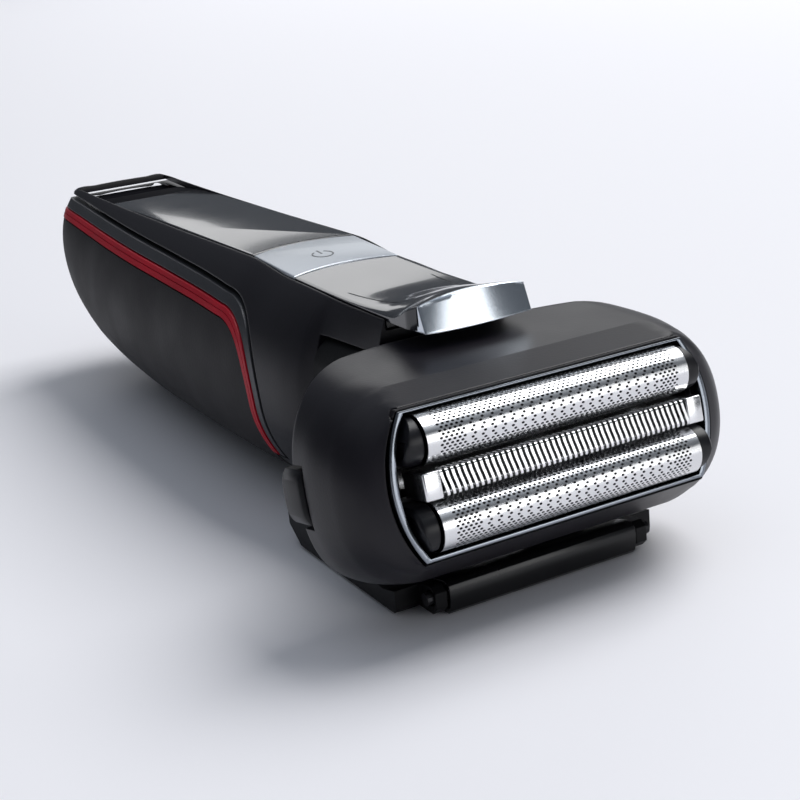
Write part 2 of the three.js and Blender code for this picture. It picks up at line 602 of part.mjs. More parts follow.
// ---------------------------------------------------------------- handle: neck and inner frame
function addNeck() {
  const front = prism('x', [[0, -40], [18, -40], [22.4, -12.8], [31.6, 10.5], [31.6, 40], [0, 40]], -40, 40);
  const skin = prism('y', roundedOutline(14.4, -12.8, 10.5, 5), 18, 45.7).subtract(front);
  const hollow = prism('y', roundedOutline(12.9, -11.3, 9.9, 3.4), 10, 60);
  place(shaver, 'neck_boot', skin.subtract(hollow), RUBBER);

  const arm = block([10.9, 27.4, -3.4], [11.9, 53, 3.4]);
  const back = block([-11.9, 50.4, -3.4], [11.9, 53, 3.4]);
  const drop = block([-5.5, 50.4, -10.9], [5.5, 53, -3]);
  const tray = join(block([-5.5, 50.4, -10.9], [5.5, 139.4, -9.9]), drop);
  const stands = [80, 136.4].map((y) => join(
    block([-7.8, y, -10.2], [7.8, y + 3, -9.2]),
    block([-7.8, y, -10.2], [-6.4, y + 3, 5.7]),
    block([6.4, y, -10.2], [7.8, y + 3, 5.7]),
  ));
  const bore = rod('x', [0, PIVOT.y, PIVOT.z], PIVOT.pin + GAP, 30);
  place(shaver, 'chassis', join(arm, mirrored(arm), back, tray, ...stands)
    .subtract(bore), DARK_PLASTIC);
  place(shaver, 'pivot_pin', rod('x', [0, PIVOT.y, PIVOT.z], PIVOT.pin, 23.8), STEEL);
}

// ---------------------------------------------------------------- handle: electrics
function addElectrics() {
  place(shaver, 'circuit_board', block([-9, 56, 6], [9, 145, 7.2]), BOARD);
  place(shaver, 'power_switch', join(block([-3, 65, 7.5], [3, 71, 10.2]),
    rod('z', [0, 68, 10.7], 1.3, 1.2, 12)), DARK_PLASTIC);
  place(shaver, 'battery', rod('y', [0, 110, -2.4], 7, 50, 20), CELL);
  place(shaver, 'battery_tab_front', block([-2.5, 84.2, -9], [2.5, 84.6, 5.6]), STEEL);
  place(shaver, 'battery_tab_rear', block([-2.5, 135.4, -9], [2.5, 135.8, 5.6]), STEEL);

  const socket = block([-SOCKET.halfX, SOCKET.front, SOCKET.low], [SOCKET.halfX, 166.4, SOCKET.high])
    .subtract(block([-4.4, 160, 4.6], [4.4, 170, 9.8]));
  place(shaver, 'charging_socket', socket.subtract(rod('y', [-2, 160, 7.2], 0.8, 10, 10))
    .subtract(rod('y', [2, 160, 7.2], 0.8, 10, 10)), DARK_PLASTIC);
  for (const [side, x] of [['left', -2], ['right', 2]]) {
    place(shaver, `charging_pin_${side}`, rod('y', [x, 159.4, 7.2], 0.5, 8.4, 10), STEEL);
  }
}

// ---------------------------------------------------------------- pop-up trimmer
function addTrimmer() {
  const { y: ay, z: az } = TRIM_AXIS;
  const cheekSide = [[8.4, -18.4], [8.4, -16.2], [9.6, -15.5], [16, -16.7], [21, -16.3], [23, -14.4],
    [41, -14.4], [41, -19.2], [9.4, -19.4]];
  const cheek = prism('x', cheekSide, TRIM.halfX + GAP, TRIM.cheek);
  const roof = block([-TRIM.cheek, 23, -15.4], [TRIM.cheek, 45.4, -14.2]);
  const shoulderSide = [[12.6, -19.0], [12.6, -16.1], [16, -16.9], [20.6, -16.6], [23, -14.4], [45.4, -14.2],
    [45.4, -16.8], [42, -19.4], [13.2, -19.5]];
  const shoulder = prism('x', shoulderSide, TRIM.cheek - 0.4, TRIM.shoulder);
  const bore = rod('x', [0, ay, az], TRIM_AXIS.pin + GAP, 60, 12);
  place(shaver, 'trimmer_mount', join(cheek, mirrored(cheek), roof, shoulder, mirrored(shoulder))
    .subtract(bore), DARK_PLASTIC);
  place(shaver, 'trimmer_pin', rod('x', [0, ay, az], TRIM_AXIS.pin, 2 * TRIM.nub, 12), STEEL);

  const flapSide = [[8.7, TRIM.bottom], [8.1, -17.4], [8.15, -15.9], [8.7, -15.4], [9.9, -15.2], [16, -16.9],
    [22, -16.6], [TRIM.end, -16.6], [TRIM.end, TRIM.bottom]];
  const flap = prism('x', flapSide, -TRIM.halfX, TRIM.halfX).subtract(bore)
    .subtract(block([-14.3, 26, -19.0], [14.3, 40, -17.5]));
  place(shaver, 'trimmer_housing', flap, BLACK_SATIN);

  const teeth = (halfX, count, from, to, low, high) => {
    const pitch = (2 * halfX) / count;
    const bodies = [];
    for (let i = 0; i < count; i += 1) {
      const x = -halfX + i * pitch;
      bodies.push(block([x, from, low], [x + pitch * 0.55, to, high]));
    }
    return bodies;
  };
  place(shaver, 'trimmer_comb', join(block([-14, 26.3, -18.7], [14, 36.4, -18.3]),
    ...teeth(14, 20, 36.2, 38.6, -18.7, -18.3)), STEEL);
  place(shaver, 'trimmer_blade', join(block([-12.6, 30, -18.15], [12.6, 36.4, -17.8]),
    ...teeth(12.6, 18, 36.2, 38.0, -18.15, -17.8)), STEEL);

  const slider = block([-4.1, 52.6, -19.0], [4.1, 60, -17.6])
    .add(block([-1.6, 54.6, -17.8], [1.6, 58.4, -14.6]));
  const ribs = [54, 56, 58].map((y) => block([-3.2, y, -19.5], [3.2, y + 0.9, -18.8]));
  place(shaver, 'trimmer_slider', join(slider, ...ribs), BLACK_SATIN);
}

// ---------------------------------------------------------------- fasteners
function addScrews() {
  const spots = [[-5.5, 76], [5.5, 76], [-5.5, 141], [5.5, 141]];
  spots.forEach(([x, y], i) => {
    place(shaver, `board_screw_${i + 1}`, rod('z', [x, y, 8.1], 1.6, 1.2, 12), STEEL);
  });
}

addFrame();
addCutting();
addDrive();
addBase();
addShells();
addTop();
addNeck();
addElectrics();
addTrimmer();
addScrews();

export default shaver;
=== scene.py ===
"""Looks of a foil shaver lying on its back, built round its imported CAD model."""
import json
import math

import bmesh
import bpy
import numpy as np
from mathutils import Matrix, Vector


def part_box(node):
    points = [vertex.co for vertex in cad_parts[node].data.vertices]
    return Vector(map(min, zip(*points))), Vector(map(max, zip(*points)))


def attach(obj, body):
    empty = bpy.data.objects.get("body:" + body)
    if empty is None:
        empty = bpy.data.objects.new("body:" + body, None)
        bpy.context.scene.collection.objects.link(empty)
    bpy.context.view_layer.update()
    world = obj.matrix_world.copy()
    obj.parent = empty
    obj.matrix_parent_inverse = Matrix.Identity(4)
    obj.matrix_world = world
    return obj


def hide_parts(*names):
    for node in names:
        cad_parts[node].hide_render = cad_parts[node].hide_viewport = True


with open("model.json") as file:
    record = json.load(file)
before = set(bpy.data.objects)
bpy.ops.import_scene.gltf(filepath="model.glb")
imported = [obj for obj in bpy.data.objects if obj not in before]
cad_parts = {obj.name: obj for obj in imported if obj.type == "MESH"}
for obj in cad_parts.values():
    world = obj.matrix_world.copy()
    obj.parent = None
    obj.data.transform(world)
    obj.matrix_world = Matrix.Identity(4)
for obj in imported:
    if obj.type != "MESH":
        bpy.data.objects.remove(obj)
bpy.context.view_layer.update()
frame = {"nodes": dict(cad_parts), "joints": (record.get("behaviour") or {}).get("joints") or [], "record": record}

# ------------------------------------------------------------------ places taken from the frame
MM = 0.001
PIVOT_Y = 31.0                       # the pivot pin along the handle, mm from the foils
HEAD_START = (0.3, 2.5)              # crest of the middle cutter in handle mm, along and up
pin_low, pin_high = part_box("pivot_pin")
pin = (pin_low + pin_high) / 2
joints = {j["name"]: j for j in frame["joints"]}
into_head = joints["slit_float"]["axis"]
TILT = math.atan2(-into_head[2], into_head[1])

HANDLE = Matrix.Translation((0, pin.y - PIVOT_Y * MM, pin.z)) @ Matrix.Scale(MM, 4)
HEAD = HANDLE @ Matrix.Translation((0, *HEAD_START)) @ Matrix.Rotation(-TILT, 4, "X")
GAP = 0.3                            # mm between neighbouring pieces
SIDES = (("left", -1), ("right", 1))


# ------------------------------------------------------------------ curves
def spline(rows, at):
    """Monotone cubic through rows of (t, a, b, ...), read at each t of `at`."""
    table = np.array(rows, float)
    x, y = table[:, 0], table[:, 1:]
    step = np.diff(x)[:, None]
    slope = np.diff(y, axis=0) / step
    tangent = np.zeros_like(y)
    tangent[0], tangent[-1] = slope[0], slope[-1]
    for i in range(1, len(x) - 1):
        before, after = slope[i - 1], slope[i]
        same = before * after > 0
        w1, w2 = 2 * step[i] + step[i - 1], step[i] + 2 * step[i - 1]
        safe = w1 / np.where(same, before, 1) + w2 / np.where(same, after, 1)
        tangent[i] = np.where(same, (w1 + w2) / np.where(same, safe, 1), 0)
    t = np.atleast_1d(np.asarray(at, float))
    i = np.clip(np.searchsorted(x, t) - 1, 0, len(x) - 2)
    h = (x[i + 1] - x[i])[:, None]
    u = ((t - x[i]) / (x[i + 1] - x[i]))[:, None]
    return ((2 * u**3 - 3 * u**2 + 1) * y[i] + (u**3 - 2 * u**2 + u) * h * tangent[i]
            + (3 * u**2 - 2 * u**3) * y[i + 1] + (u**3 - u**2) * h * tangent[i + 1])


def smooth_ring(points, per):
    """A closed smooth curve through the points, with `per` samples in each gap."""
    p = np.asarray(points, float)
    ahead, behind = np.roll(p, -1, 0) - p, p - np.roll(p, 1, 0)
    long_a = np.linalg.norm(ahead, axis=1)[:, None]
    long_b = np.linalg.norm(behind, axis=1)[:, None]
    tangent = (behind / long_b * long_a + ahead / long_a * long_b) / (long_a + long_b)
    u = (np.arange(per) / per)[None, :, None]
    p1, t1 = np.roll(p, -1, 0), np.roll(tangent, -1, 0)
    curve = ((2 * u**3 - 3 * u**2 + 1) * p[:, None] + (3 * u**2 - 2 * u**3) * p1[:, None]
             + long_a[:, None] * ((u**3 - 2 * u**2 + u) * tangent[:, None]
                                  + (u**3 - u**2) * t1[:, None]))
    return curve.reshape(-1, p.shape[1])


# ------------------------------------------------------------------ meshes, in mm
def shape(points, faces):
    mesh = bpy.data.meshes.new("shape")
    mesh.from_pydata([tuple(p) for p in points], [], faces)
    bm = bmesh.new()
    bm.from_mesh(mesh)
    bmesh.ops.recalc_face_normals(bm, faces=bm.faces)
    bm.to_mesh(mesh)
    bm.free()
    obj = bpy.data.objects.new("shape", mesh)
    bpy.context.scene.collection.objects.link(obj)
    return obj


def skin(rings, loop=False):
    """A closed body through rings of equal length. With loop, the last ring joins the first."""
    rings = np.asarray(rings, float)
    count, size = rings.shape[:2]
    faces = []
    for r in range(count if loop else count - 1):
        a0, b0 = r * size, ((r + 1) % count) * size
        faces += [(a0 + i, a0 + (i + 1) % size, b0 + (i + 1) % size, b0 + i) for i in range(size)]
    if not loop:
        faces += [tuple(range(size)), tuple(range((count - 1) * size, count * size))[::-1]]
    return shape(rings.reshape(-1, 3), faces)


def prism(axis, outline, low, high):
    """An outline swept along x, y or z: pairs are (y, z), (x, z) or (x, y)."""
    order = {"x": lambda a, b, t: (t, a, b), "y": lambda a, b, t: (a, t, b),
             "z": lambda a, b, t: (a, b, t)}[axis]
    return skin([[order(a, b, t) for a, b in outline] for t in (low, high)])


def box(low, high):
    return prism("z", [(low[0], low[1]), (high[0], low[1]), (high[0], high[1]), (low[0], high[1])],
                 low[2], high[2])


def circle(a, b, radius, sides=48):
    turn = np.linspace(0, 2 * math.pi, sides, endpoint=False)
    return [(a + radius * math.cos(t), b + radius * math.sin(t)) for t in turn]


def rounded(half, low, high, radius, steps=8):
    """A rectangle with round corners, symmetric about the second axis."""
    corners = ((half - radius, low + radius, -90), (half - radius, high - radius, 0),
               (radius - half, high - radius, 90), (radius - half, low + radius, 180))
    return [(a + radius * math.cos(math.radians(start + 90 * i / steps)),
             b + radius * math.sin(math.radians(start + 90 * i / steps)))
            for a, b, start in corners for i in range(steps + 1)]


def settle(obj):
    """Applies the object's modifiers."""
    bpy.context.view_layer.update()
    graph = bpy.context.evaluated_depsgraph_get()
    mesh = bpy.data.meshes.new_from_object(obj.evaluated_get(graph))
    obj.modifiers.clear()
    old, obj.data = obj.data, mesh
    bpy.data.meshes.remove(old)
    return obj


def discard(obj):
    mesh = obj.data
    bpy.data.objects.remove(obj)
    bpy.data.meshes.remove(mesh)


def boolean(obj, operation, tools):
    """Works on obj in place and uses the tools up."""
    for tool in tools:
        change = obj.modifiers.new("boolean", "BOOLEAN")
        change.operation, change.solver, change.object = operation, "MANIFOLD", tool
        settle(obj)
        discard(tool)
    return obj


def cut(obj, *tools):
    return boolean(obj, "DIFFERENCE", tools)


def keep(obj, *tools):
    return boolean(obj, "INTERSECT", tools)


def add(obj, *tools):
    return boolean(obj, "UNION", tools)


def merge(*objects):
    """One object holding several closed bodies."""
    bm = bmesh.new()
    for obj in objects:
        bm.from_mesh(obj.data)
    first = objects[0]
    bm.to_mesh(first.data)
    bm.free()
    for obj in objects[1:]:
        discard(obj)
    return first


def bevel(obj, width, segments=3, degrees=35):
    edge = obj.modifiers.new("bevel", "BEVEL")
    edge.width, edge.segments = width, segments
    edge.limit_method, edge.angle_limit = "ANGLE", math.radians(degrees)
    return settle(obj)


def piece(obj, name, place, look, body, nodes, degrees=30, crease=None):
    """Puts a finished body in the row frame, shades it and ties it to its CAD body."""
    bm = bmesh.new()
    bm.from_mesh(obj.data)
    limit = math.radians(degrees)
    for f in bm.faces:
        f.smooth = True
    for e in bm.edges:
        hard = len(e.link_faces) == 2 and e.calc_face_angle(0) > limit
        e.smooth = not (hard or (crease and crease(e.verts[0].co) and crease(e.verts[1].co)))
    bm.to_mesh(obj.data)
    bm.free()
    obj.data.transform(place)
    obj.name = obj.data.name = name
    obj.data.materials.clear()
    obj.data.materials.append(look)
    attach(obj, body)
    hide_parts(*nodes)


# ------------------------------------------------------------------ materials
NOISE_RANGE = (0.3, 0.7)             # nearly all of the noise lies between these


def surface(name, colour, roughness, metal=0.0, coat=0.0, grain=0.00035, relief=0.000012,
            patch=0.012, vary=0.12, uneven=0.06, edge=0.0, stretch=(1, 1, 1), specular=0.5):
    """Moulded, brushed or painted stuff: colour and gloss vary in patches over a fine grain."""
    m = bpy.data.materials.new(name)
    m.use_nodes = True
    tree = m.node_tree
    shader = tree.nodes["Principled BSDF"]
    shader.inputs["Metallic"].default_value = metal
    shader.inputs["Coat Weight"].default_value = coat
    shader.inputs["Coat Roughness"].default_value = 0.05
    shader.inputs["Specular IOR Level"].default_value = specular
    coords = tree.nodes.new("ShaderNodeTexCoord")
    link = tree.links.new

    def noise(size, detail, stretched=False):
        texture = tree.nodes.new("ShaderNodeTexNoise")
        texture.inputs["Scale"].default_value = 1 / size
        texture.inputs["Detail"].default_value = detail
        source = coords.outputs["Object"]
        if stretched:
            mapping = tree.nodes.new("ShaderNodeMapping")
            mapping.inputs["Scale"].default_value = stretch
            link(source, mapping.inputs["Vector"])
            source = mapping.outputs["Vector"]
        link(source, texture.inputs["Vector"])
        return texture.outputs["Fac"]

    patches = noise(patch, 4)
    ramp = tree.nodes.new("ShaderNodeValToRGB")
    dark, light = ramp.color_ramp.elements
    dark.position, light.position = NOISE_RANGE
    dark.color = (*[c * (1 - vary) for c in colour], 1)
    light.color = (*[min(1, c * (1 + vary)) for c in colour], 1)
    link(patches, ramp.inputs["Fac"])
    link(ramp.outputs["Color"], shader.inputs["Base Color"])

    fine = noise(grain, 2, True)
    gloss = tree.nodes.new("ShaderNodeMapRange")
    gloss.inputs["From Min"].default_value, gloss.inputs["From Max"].default_value = NOISE_RANGE
    gloss.inputs["To Min"].default_value = max(0.02, roughness - uneven)
    gloss.inputs["To Max"].default_value = roughness + uneven
    link(patches if metal == 0 else fine, gloss.inputs["Value"])
    link(gloss.outputs["Result"], shader.inputs["Roughness"])

    bump = tree.nodes.new("ShaderNodeBump")
    bump.inputs["Strength"].default_value = 1.0
    bump.inputs["Distance"].default_value = relief
    link(fine, bump.inputs["Height"])
    if edge:
        soft = tree.nodes.new("ShaderNodeBevel")
        soft.samples = 4
        soft.inputs["Radius"].default_value = edge
        link(soft.outputs["Normal"], bump.inputs["Normal"])
    link(bump.outputs["Normal"], shader.inputs["Normal"])
    return m


LOOKS = {
    "shell_black": surface("satin_black", (0.008, 0.007, 0.0105), 0.36, edge=0.0003, uneven=0.03,
                           specular=0.3),
    "gloss_black": surface("polished_black", (0.020, 0.021, 0.026), 0.12, coat=0.5, relief=0.0000006,
                           uneven=0.02, vary=0.05, edge=0.0002),
    "dark_plastic": surface("matt_black", (0.004, 0.004, 0.005), 0.5, edge=0.0002, specular=0.2),
    "grip_rubber": surface("grip_rubber", (0.016, 0.0145, 0.016), 0.6, relief=0.00003, grain=0.0005,
                           specular=0.25),
    "boot_rubber": surface("boot_rubber", (0.006, 0.006, 0.007), 0.65, relief=0.00003, specular=0.2),
    "steel": surface("brushed_steel", (0.74, 0.745, 0.755), 0.22, metal=1, relief=0.000002,
                     stretch=(0.12, 1, 1), uneven=0.05, vary=0.04),
    "silver": surface("satin_aluminium", (0.62, 0.64, 0.67), 0.24, metal=1, relief=0.000001,
                      uneven=0.04, vary=0.05),
    "key_silver": surface("pearl_silver", (0.50, 0.53, 0.57), 0.38, metal=0.7, coat=0.15,
                          relief=0.0000004, uneven=0.02, vary=0.03, edge=0.0002),
    "dark_chrome": surface("bright_chrome", (0.62, 0.67, 0.73), 0.2, metal=1, relief=0.0000004,
                           uneven=0.02, vary=0.03, edge=0.0002),
    "red_metal": surface("red_lacquer", (0.42, 0.006, 0.020), 0.4, relief=0.000002, vary=0.15,
                         specular=0.2),
    "copper": surface("wound_copper", (0.72, 0.32, 0.14), 0.35, metal=1, grain=0.0004,
                      relief=0.00008, stretch=(0.05, 1, 1)),
    "board_green": surface("solder_mask", (0.012, 0.09, 0.04), 0.35, patch=0.004, vary=0.3),
    "cell_wrap": surface("cell_sleeve", (0.03, 0.10, 0.28), 0.3, relief=0.00001),
}
# Painted shade: a near-black steel for the inner cutters, slit blade and trimmer pin, standing in for the shade in
# the gaps behind the foils and the comb
SHADE_DARKENED_STEEL = surface("steel_darkened_as_shade", (0.022, 0.022, 0.025), 0.45, metal=0.6, relief=0.000004)
RIM_SATIN = surface("satin_grey", (0.045, 0.046, 0.052), 0.38, metal=0.4, relief=0.000002, edge=0.0002)
CAP_BLACK = surface("satin_cap", (0.005, 0.005, 0.007), 0.34, relief=0.0000006, edge=0.0002,
                    specular=0.3)
BEZEL_STEEL = surface("dark_bezel_steel", (0.22, 0.24, 0.27), 0.2, metal=1, relief=0.000001,
                      uneven=0.03, vary=0.05)
STERN_MATT = surface("stern_matt", (0.006, 0.006, 0.008), 0.85, edge=0.0002, specular=0.03)
FLAP_BLACK = surface("trimmer_black", (0.006, 0.006, 0.007), 0.25, relief=0.000003, edge=0.00015,
                     specular=0.35)
# The cutters, slit blade and trimmer pin take the steel darkened as painted shade; the rear shell takes the matt
# black
NODE_LOOKS = {"inner_cutter_front": SHADE_DARKENED_STEEL, "inner_cutter_rear": SHADE_DARKENED_STEEL, "slit_blade": SHADE_DARKENED_STEEL,
              "trimmer_pin": SHADE_DARKENED_STEEL, "rear_shell": STERN_MATT}
slot_of = {s["node"]: s["material_slot"] for s in frame["record"]["subparts"]}
for node_name, node in frame["nodes"].items():
    for material_slot in node.material_slots:
        material_slot.link = "OBJECT"
        material_slot.material = NODE_LOOKS.get(node_name) or LOOKS[slot_of[node_name]]

# ------------------------------------------------------------------ head shell
CREASE = 9.4                         # depth of the fold in the head's top and bottom
HEAD_SIDES = [                       # depth, half width, end ellipse across and up, exponent
    (3.3, 24.9, 18.3, 18.3, 2.0), (4.2, 27.2, 14.0, 12.4, 2.1), (6.0, 29.0, 11.0, 11.8, 2.25),
    (9.3, 30.4, 12.4, 13.0, 2.4), (15.0, 31.2, 12.6, 14.0, 2.5), (26.0, 31.3, 14.6, 15.6, 2.4)]
HEAD_TOP = [(3.3, 9.6), (CREASE, 12.25), (26, 16.3)]
HEAD_BOTTOM = [(3.3, -10.2), (CREASE, -13.65), (15, -14.3), (26, -14.8)]
REAR_RIM = [(0, 25.4), (12, 24.6), (18, 23.6), (24, 21.4), (28, 19.4), (34, 17.4)]
RIM_MIDDLE, RIM_LEAN = 21.5, 0.2
END_STEPS, FLAT_STEPS = 40, 24


def long_outline(half_width, top, bottom, arc_x, arc_v, exponent=2.0):
    """Straight top and bottom with bulging ends, as an array of (x, v)."""
    middle, half = (top + bottom) / 2, (top - bottom) / 2
    power = 2 / exponent
    limit = math.asin(min(1.0, half / arc_v) ** (1 / power))
    turn = np.linspace(-limit, limit, END_STEPS + 1)
    rise = np.sign(turn) * np.abs(np.sin(turn)) ** power
    right = np.c_[half_width - arc_x + arc_x * np.cos(turn) ** power, middle + arc_v * rise]
    left = (right * (-1, 1))[::-1]
    share = (np.arange(1, FLAT_STEPS) / FLAT_STEPS)[:, None]
    over = right[-1] + (left[0] - right[-1]) * share
    under = left[-1] + (right[0] - left[-1]) * share
    return np.vstack([right, over, left, under])


def head_outline(depth, inset=0.0):
    half_width, arc_x, arc_v, exponent = spline(HEAD_SIDES, depth)[0]
    top = np.interp(depth, *zip(*HEAD_TOP)) - inset
    bottom = np.interp(depth, *zip(*HEAD_BOTTOM)) + inset
    arc_v = max(arc_v - inset, (top - bottom) / 2)
    return long_outline(half_width - inset, top, bottom, arc_x - inset, arc_v, exponent)


def rim_depth(outline):
    curve = spline(REAR_RIM, np.clip(np.abs(outline[:, 0]), 0, 34))[:, 0]
    return np.minimum(curve, RIM_MIDDLE + RIM_LEAN * outline[:, 1])


def at_depths(depths, inset=0.0):
    """The head's outline where each of its points lies at a depth of its own."""
    points = np.zeros((len(depths), 3))
    levels, where = np.unique(np.round(depths, 4), return_inverse=True)
    for k, level in enumerate(levels):
        mine = np.nonzero(where == k)[0]
        points[mine] = np.c_[head_outline(level, inset)[mine, 0], np.full(len(mine), level),
                             head_outline(level, inset)[mine, 1]]
    return points


def head_ends():
    depths = np.full(len(head_outline(20)), 20.0)
    for _ in range(6):
        depths = rim_depth(at_depths(depths)[:, [0, 2]])
    return depths


def flat_ring(outline, depth):
    return np.c_[outline[:, 0], np.full(len(outline), depth), outline[:, 1]]


# The mouth of the head, the step the bezel sits in, and the bezel:
# half width, top, bottom, radius of the round ends.
OPENING, SEAT, BEZEL = (23.9, 9.3, -9.4, 18.3), (25.1, 9.9, -10.2, 18.5), (24.8, 9.6, -9.9, 18.3)
SEAT_DEPTHS, MOUTH_BACK = (3.7, 5.3), 6.4


def mouth_outline(sizes, grow=0.0):
    half_width, top, bottom, radius = sizes
    return long_outline(half_width + grow, top + grow, bottom - grow, radius + grow, radius + grow)


def opening(inset=0.0):
    return mouth_outline(OPENING, -inset)


def head_frame_body():
    ends = head_ends()
    ones = np.ones_like(ends)
    wall = 1.7
    seat = mouth_outline(SEAT)
    seat_front, seat_back = SEAT_DEPTHS
    rings = [flat_ring(opening(), seat_back), flat_ring(seat, seat_back), flat_ring(seat, seat_front)]
    rings += [at_depths(ones * d) for d in np.linspace(3.45, CREASE, 16)]
    rings += [at_depths(CREASE + (ends - 0.35 - CREASE) * t) for t in np.linspace(0, 1, 22)[1:]]
    rings += [at_depths(ends - 0.1, 0.12), at_depths(ends, 0.45), at_depths(ends, wall - 0.2)]
    rings += [at_depths(ends - 0.3, wall)]
    rings += [at_depths(MOUTH_BACK + (ends - 0.3 - MOUTH_BACK) * t, wall)
              for t in np.linspace(1, 0, 12)[1:]]
    rings += [flat_ring(opening(), MOUTH_BACK)]
    return skin(rings, loop=True)


RELEASE = {"front": 15.4, "back": 21.2, "low": -4.2, "high": 3.8, "inner": 27.6, "outer": 31.9}


def notch(side):
    low, high = sorted((side * 23.6, side * 40))
    return box((low, RELEASE["front"] - GAP, RELEASE["low"] - GAP), (high, 30, RELEASE["high"] + GAP))


def on_crease(p):
    return abs(p.y - CREASE) < 0.02 and abs(p.x) < 21.5


piece(cut(head_frame_body(), notch(1), notch(-1)), "head_shell", HEAD, LOOKS["shell_black"],
      "foil_frame", ["head_frame"], crease=on_crease)


def ring_between(inner, outer, low, high, soft):
    """A flat ring with softened front edges; depth low faces the user."""
    return skin([flat_ring(inner(0), high), flat_ring(inner(0), low + soft),
                 flat_ring(inner(-soft * 0.4), low + soft * 0.3), flat_ring(inner(-soft), low),
                 flat_ring(outer(-soft), low), flat_ring(outer(-soft * 0.4), low + soft * 0.3),
                 flat_ring(outer(0), low + soft), flat_ring(outer(0), high)], loop=True)


def bezel_outer(grow):
    return mouth_outline(BEZEL, grow)


piece(ring_between(opening, bezel_outer, 2.9, 5.0, 0.1), "foil_bezel", HEAD, BEZEL_STEEL,
      "foil_frame", ["frame_bezel"])

# ------------------------------------------------------------------ foils
FOIL = {"radius": 3.35, "length": 40.5, "leg": 6.6, "pitch": 5.6, "thick": 0.16}
HOLES = {"columns": 50, "rows": 23, "width": 37.3, "row": 0.45, "half_wide": 0.235, "half_tall": 0.16,
         "crest": 1.75, "end": 3.2}


def foil_point(x, s):
    """A point of the foil: s runs round the arch from its crest."""
    r = FOIL["radius"]
    quarter = r * math.pi / 2
    if abs(s) <= quarter:
        angle = s / r
        return (x, r - r * math.cos(angle), r * math.sin(angle))
    return (x, r + abs(s) - quarter, math.copysign(r, s))


def foil_sheet():
    """The arched foil with staggered holes. Near the crest every other column is left solid."""
    points, index, faces = [], {}, []
    quarter_pitch = HOLES["width"] / HOLES["columns"] / 4
    half_row = HOLES["row"] / 2
    wide, tall = 2 * HOLES["columns"], HOLES["rows"]

    def vertex(i, j):
        if (i, j) not in index:
            index[i, j] = len(points)
            points.append((i * quarter_pitch, j * half_row))
        return index[i, j]

    def quad(i, j):
        faces.append((vertex(i, j), vertex(i + 1, j), vertex(i + 1, j + 1), vertex(i, j + 1)))

    around = ((-2, -1), (-1, -1), (0, -1), (1, -1), (2, -1), (2, 0), (2, 1), (1, 1), (0, 1),
              (-1, 1), (-2, 1), (-2, 0))
    for row in range(-(tall - 1), tall, 2):
        odd = (row // 2) % 2
        edges = list(range(-wide + (2 if odd else 0), wide - 1, 4))
        if odd:
            for i in (-wide, -wide + 1, wide - 2, wide - 1):
                for j in (row - 1, row):
                    quad(i, j)
            edges = edges[:-1] if edges[-1] + 4 > wide - 2 else edges
        for k, left in enumerate(edges):
            centre = left + 2
            x, s = centre * quarter_pitch, row * half_row
            solid_bar = abs(s) < HOLES["crest"] and k % 2 and abs(x) < HOLES["width"] / 2 - HOLES["end"]
            if solid_bar:
                for i in range(left, left + 4):
                    for j in (row - 1, row):
                        quad(i, j)
                continue
            rim = [vertex(centre + a, row + b) for a, b in around]
            hole = []
            for a, b in around:
                turn = math.atan2(b * half_row, a * quarter_pitch)
                hole.append(len(points))
                points.append((x + HOLES["half_wide"] * math.cos(turn),
                               s + HOLES["half_tall"] * math.sin(turn)))
            faces += [(rim[n], rim[(n + 1) % 12], hole[(n + 1) % 12], hole[n]) for n in range(12)]
    edge_x = [-FOIL["length"] / 2, -wide * quarter_pitch, wide * quarter_pitch, FOIL["length"] / 2]
    last = FOIL["radius"] * math.pi / 2 + FOIL["leg"] - FOIL["radius"]
    ends = []
    for side in (0, 3):
        column = {}
        for j in range(-tall, tall + 1):
            column[j] = len(points)
            points.append((edge_x[side], j * half_row))
        ends.append(column)
    for j in range(-tall, tall):
        faces.append((ends[0][j], vertex(-wide, j), vertex(-wide, j + 1), ends[0][j + 1]))
        faces.append((vertex(wide, j), ends[1][j], ends[1][j + 1], vertex(wide, j + 1)))
    for sign in (-1, 1):
        line = [ends[0][sign * tall], *[vertex(i, sign * tall) for i in range(-wide, wide + 1)],
                ends[1][sign * tall]]
        for s in np.linspace(tall * half_row, last, 5)[1:]:
            row_points = []
            for v in line:
                row_points.append(len(points))
                points.append((points[v][0], sign * s))
            faces += [(line[n], line[n + 1], row_points[n + 1], row_points[n])
                      for n in range(len(line) - 1)]
            line = row_points
    sheet = shape([foil_point(x, s) for x, s in points], faces)
    bm = bmesh.new()
    bm.from_mesh(sheet.data)
    top = max(bm.faces, key=lambda f: -f.calc_center_median().y)
    if top.normal.y > 0:
        bmesh.ops.reverse_faces(bm, faces=bm.faces)
    bm.to_mesh(sheet.data)
    bm.free()
    thick = sheet.modifiers.new("thick", "SOLIDIFY")
    thick.thickness, thick.offset = FOIL["thick"], -1
    return settle(sheet)


def arch(radius, crest, leg, x, steps=24):
    turn = np.linspace(0, math.pi, steps)
    return [(x, leg, -radius), *[(x, crest + radius - radius * math.sin(t), -radius * math.cos(t))
                                 for t in turn], (x, leg, radius)]


def foil_holder(v):
    """Black end caps with a dished face, and the rails that join them."""
    parts = []
    for side in (-1, 1):
        rows = [(20.5, 3.1), (21.9, 3.1), (22.5, 2.95), (22.8, 2.6), (22.9, 2.1), (22.5, 1.8)]
        parts.append(skin([arch(r, 0.6 + (3.1 - r) * 0.8, 8.2, side * x) for x, r in rows]))
    for side in (-1, 1):
        parts.append(box((-22.0, 6.9, side * 3.3 - 0.3), (22.0, 8.2, side * 3.3 + 0.3)))
    whole = add(*parts)
    whole.data.transform(Matrix.Translation((0, 0, v)))
    return keep(whole, skin([flat_ring(opening(0.4), d) for d in (-5, 9.4)]))


